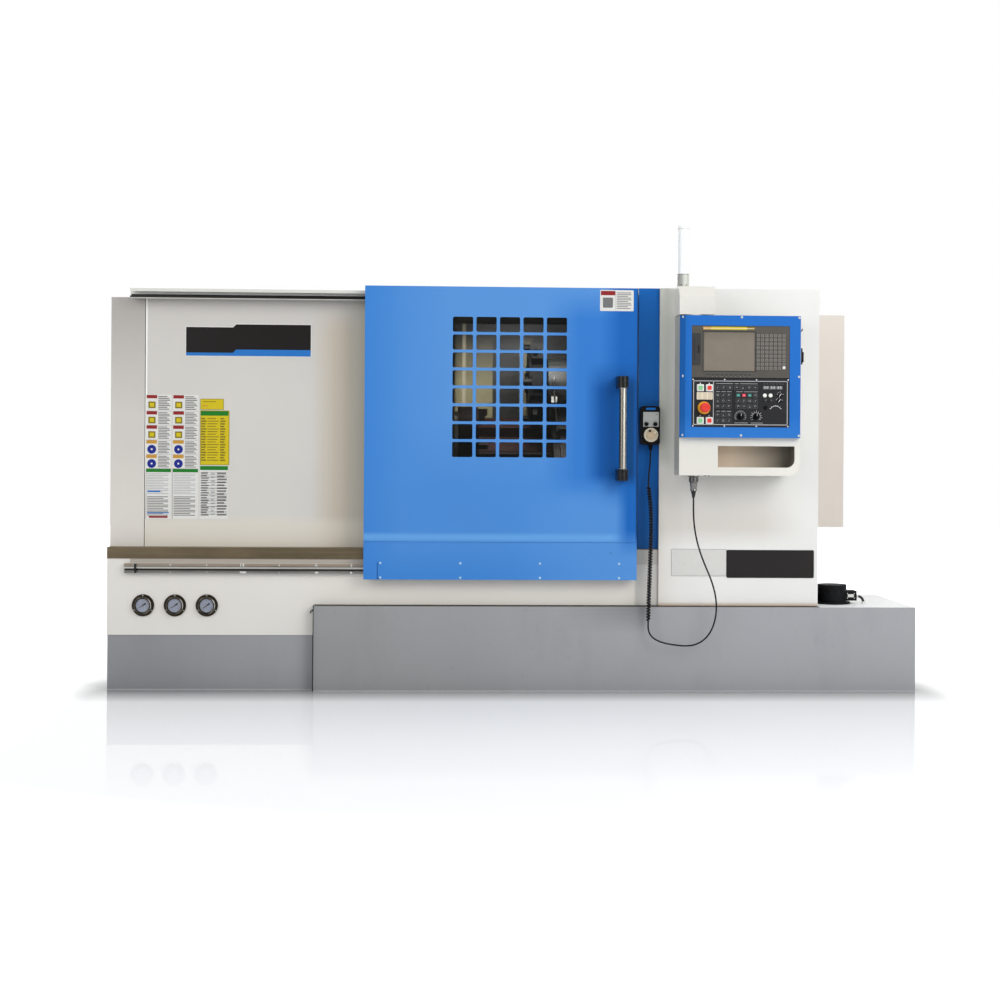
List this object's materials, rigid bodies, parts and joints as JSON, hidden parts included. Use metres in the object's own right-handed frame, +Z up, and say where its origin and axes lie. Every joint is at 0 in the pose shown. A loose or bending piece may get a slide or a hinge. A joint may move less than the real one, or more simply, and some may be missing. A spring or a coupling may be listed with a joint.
{
  "type": "cnc turning lathe",
  "caption": "Slant-bed turning lathe in a sheet-metal enclosure with a sliding windowed door, a hanging operator pendant, a hand unit on a curly cord and a coolant tank.",
  "frame": {"origin": "centre of the footprint, on the floor", "axes": "+Z up, +X to the operator's right along the spindle, -Y towards the operator"},
  "size_m": [3.394, 1.83, 1.946],
  "materials": {
    "paint_ivory": "satin",
    "paint_blue": "satin",
    "paint_blue_dark": "satin",
    "paint_grey": "satin",
    "cast_iron": "machined",
    "stainless": "brushed",
    "rail_steel": "ground",
    "ground_steel": "ground",
    "motor_black": "satin",
    "rubber": "matte",
    "chrome": "polished",
    "lamp_tube": "frosted",
    "black_plastic": "matte",
    "cord_black": "matte",
    "clear_pane": "clear",
    "handle_grey": "anodised",
    "unit_grey": "matte",
    "panel_black": "matte",
    "button_green": "gloss",
    "button_red": "gloss",
    "wheel_ivory": "gloss"
  },
  "bodies": {
    "machine": {"base_casting": "paint_grey", "bed_casting": "cast_iron", "headstock_casting": "cast_iron", "main_motor": "motor_black", "drive_belt": "rubber", "lower_front_cover": "paint_ivory", "sill_cap": "stainless", "door_rails": "rail_steel", "roof_panel": "paint_ivory", "left_front_panel": "paint_ivory", "left_end_cover": "paint_ivory", "right_end_cover": "paint_ivory", "rear_cover": "paint_ivory", "fixed_post": "paint_blue_dark", "right_front_cabinet": "paint_ivory", "headstock_guard": "paint_ivory", "chip_pan": "stainless", "coolant_tank": "paint_grey", "coolant_pump": "motor_black", "pressure_gauges": "chrome", "signal_lamp": "lamp_tube", "electrical_cabinet": "paint_ivory", "pendant_arm": "paint_ivory", "hand_unit_body": "black_plastic", "hand_cord": "cord_black", "curly_cord": "cord_black"},
    "door": {"door_panel": "paint_blue", "door_skirt": "paint_blue", "door_window": "clear_pane", "door_handle": "handle_grey"},
    "roller_left": {"door_roller_left": "rail_steel"},
    "roller_right": {"door_roller_right": "rail_steel"},
    "spindle": {"spindle": "ground_steel", "chuck_body": "ground_steel"},
    "jaw_1": {"chuck_jaw_1": "ground_steel"},
    "jaw_2": {"chuck_jaw_2": "ground_steel"},
    "jaw_3": {"chuck_jaw_3": "ground_steel"},
    "motor_pulley": {"motor_pulley": "cast_iron"},
    "saddle": {"saddle": "cast_iron"},
    "z_screw": {"z_ball_screw": "ground_steel"},
    "cross_slide": {"cross_slide": "cast_iron"},
    "turret": {"turret_disc": "ground_steel"},
    "tailstock": {"tailstock": "cast_iron"},
    "quill": {"quill": "ground_steel"},
    "cabinet_door": {"cabinet_door": "paint_ivory"},
    "pendant": {"pendant_housing": "paint_ivory", "pendant_bezel": "paint_blue", "display_unit": "unit_grey", "operator_panel": "panel_black", "cord_plug": "chrome"},
    "button_1": {"push_button_1": "button_green"},
    "button_2": {"push_button_2": "button_red"},
    "button_3": {"push_button_3": "button_green"},
    "button_4": {"push_button_4": "button_red"},
    "emergency_stop": {"emergency_stop": "button_red"},
    "override_knob_1": {"override_knob_1": "black_plastic"},
    "override_knob_2": {"override_knob_2": "black_plastic"},
    "hand_wheel": {"hand_wheel": "wheel_ivory"},
    "hand_knob_1": {"hand_knob_1": "black_plastic"},
    "hand_knob_2": {"hand_knob_2": "black_plastic"}
  },
  "joints": [
    {"name": "door_slide", "type": "slide", "parent": "machine", "child": "door", "axis": [-1, 0, 0], "range_m": [0, 1]},
    {"name": "roller_left_turn", "type": "hinge", "parent": "door", "child": "roller_left", "pos_m": [-0.481, -0.669, 1.6503], "axis": [0, 1, 0], "range_deg": [-4100, 10]},
    {"name": "roller_right_turn", "type": "hinge", "parent": "door", "child": "roller_right", "pos_m": [0.359, -0.669, 1.6503], "axis": [0, 1, 0], "range_deg": [-4100, 10]},
    {"name": "spindle_turn", "type": "hinge", "parent": "machine", "child": "spindle", "pos_m": [-0.2, -0.12, 1.08], "axis": [1, 0, 0], "continuous": true},
    {"name": "jaw_1_slide", "type": "slide", "parent": "spindle", "child": "jaw_1", "axis": [0, 0, 1], "range_m": [-0.004, 0.006]},
    {"name": "jaw_2_slide", "type": "slide", "parent": "spindle", "child": "jaw_2", "axis": [0, -0.866, -0.5], "range_m": [-0.004, 0.006]},
    {"name": "jaw_3_slide", "type": "slide", "parent": "spindle", "child": "jaw_3", "axis": [0, 0.866, -0.5], "range_m": [-0.004, 0.006]},
    {"name": "motor_pulley_turn", "type": "hinge", "parent": "machine", "child": "motor_pulley", "pos_m": [-0.97, 0.2, 0.585], "axis": [1, 0, 0], "continuous": true},
    {"name": "saddle_slide", "type": "slide", "parent": "machine", "child": "saddle", "axis": [1, 0, 0], "range_m": [-0.15, 0.3]},
    {"name": "z_screw_turn", "type": "hinge", "parent": "machine", "child": "z_screw", "pos_m": [0.4, 0.16991, 0.98808], "axis": [1, 0, 0], "range_deg": [-5410, 10810]},
    {"name": "cross_slide_travel", "type": "slide", "parent": "saddle", "child": "cross_slide", "axis": [0, 0.7071, 0.7071], "range_m": [-0.13, 0.06]},
    {"name": "turret_index", "type": "hinge", "parent": "cross_slide", "child": "turret", "pos_m": [0.1, 0.12395, 1.32395], "axis": [1, 0, 0], "continuous": true},
    {"name": "tailstock_slide", "type": "slide", "parent": "machine", "child": "tailstock", "axis": [1, 0, 0], "range_m": [-0.18, 0.25]},
    {"name": "quill_slide", "type": "slide", "parent": "tailstock", "child": "quill", "axis": [-1, 0, 0], "range_m": [0, 0.12]},
    {"name": "cabinet_door_hinge", "type": "hinge", "parent": "machine", "child": "cabinet_door", "pos_m": [0.56, 0.8603, 1.169], "axis": [0, 0, 1], "range_deg": [0, 110]},
    {"name": "pendant_swing", "type": "hinge", "parent": "machine", "child": "pendant", "pos_m": [0.737, -0.795, 1.24], "axis": [0, 0, 1], "range_deg": [-80, 0]},
    {"name": "button_1_press", "type": "slide", "parent": "pendant", "child": "button_1", "axis": [0, 1, 0], "range_m": [0, 0.003], "stiffness_N_per_m": 300},
    {"name": "button_2_press", "type": "slide", "parent": "pendant", "child": "button_2", "axis": [0, 1, 0], "range_m": [0, 0.003], "stiffness_N_per_m": 300},
    {"name": "button_3_press", "type": "slide", "parent": "pendant", "child": "button_3", "axis": [0, 1, 0], "range_m": [0, 0.003], "stiffness_N_per_m": 300},
    {"name": "button_4_press", "type": "slide", "parent": "pendant", "child": "button_4", "axis": [0, 1, 0], "range_m": [0, 0.003], "stiffness_N_per_m": 300},
    {"name": "emergency_stop_press", "type": "slide", "parent": "pendant", "child": "emergency_stop", "axis": [0, 1, 0], "range_m": [0, 0.004]},
    {"name": "override_knob_1_turn", "type": "hinge", "parent": "pendant", "child": "override_knob_1", "pos_m": [0.915, -0.88, 1.152], "axis": [0, 1, 0], "range_deg": [-135, 135]},
    {"name": "override_knob_2_turn", "type": "hinge", "parent": "pendant", "child": "override_knob_2", "pos_m": [0.981, -0.88, 1.152], "axis": [0, 1, 0], "range_deg": [-135, 135]},
    {"name": "hand_wheel_turn", "type": "hinge", "parent": "machine", "child": "hand_wheel", "pos_m": [0.567, -0.73, 1.0755], "axis": [0, 1, 0], "continuous": true},
    {"name": "hand_knob_1_turn", "type": "hinge", "parent": "machine", "child": "hand_knob_1", "pos_m": [0.5485, -0.73, 1.1215], "axis": [0, 1, 0], "range_deg": [-60, 60]},
    {"name": "hand_knob_2_turn", "type": "hinge", "parent": "machine", "child": "hand_knob_2", "pos_m": [0.5855, -0.73, 1.1215], "axis": [0, 1, 0], "range_deg": [-60, 60]}
  ],
  "couplings": [
    {"joint": "roller_left_turn", "follows": "door_slide", "rad_per_m": -71.429},
    {"joint": "roller_right_turn", "follows": "door_slide", "rad_per_m": -71.429},
    {"joint": "motor_pulley_turn", "follows": "spindle_turn", "ratio": 1.625},
    {"joint": "jaw_2_slide", "follows": "jaw_1_slide", "ratio": 1},
    {"joint": "jaw_3_slide", "follows": "jaw_1_slide", "ratio": 1},
    {"joint": "z_screw_turn", "follows": "saddle_slide", "rad_per_m": 628.32}
  ]
}
